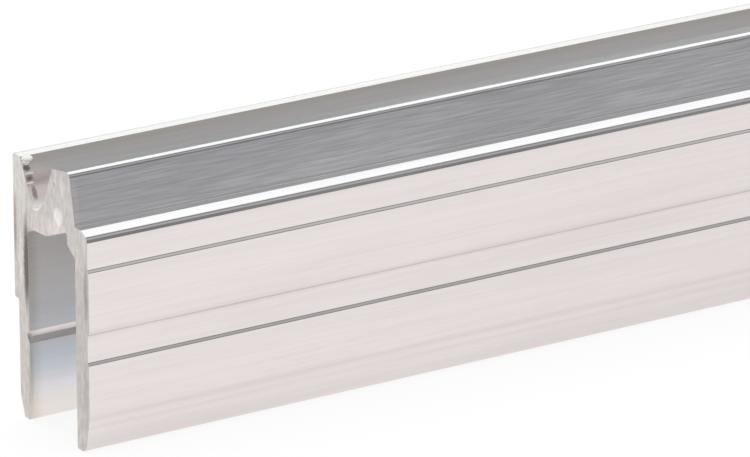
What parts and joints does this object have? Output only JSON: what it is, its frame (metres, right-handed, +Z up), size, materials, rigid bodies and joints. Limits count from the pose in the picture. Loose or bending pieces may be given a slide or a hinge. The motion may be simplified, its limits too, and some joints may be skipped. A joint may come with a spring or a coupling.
{
  "type": "aluminium extrusion profile",
  "caption": "Bar of aluminium closing-edge extrusion for a panelled case: two legs form a panel slot below, a tongue and a groove run along the top",
  "frame": {"origin": "centre of the bar's length and width, on the floor under the two leg tips", "axes": "X along the bar with the pictured cut end at -X, Y from the stepped front face at -Y to the plain back, Z up with the panel slot opening downward"},
  "size_m": [1, 0.0118, 0.0233],
  "materials": {
    "mill_aluminium": "mill finish, fine die lines along the length, sawn ends"
  },
  "bodies": {
    "root": {"profile_bar": "mill_aluminium"}
  },
  "joints": []
}
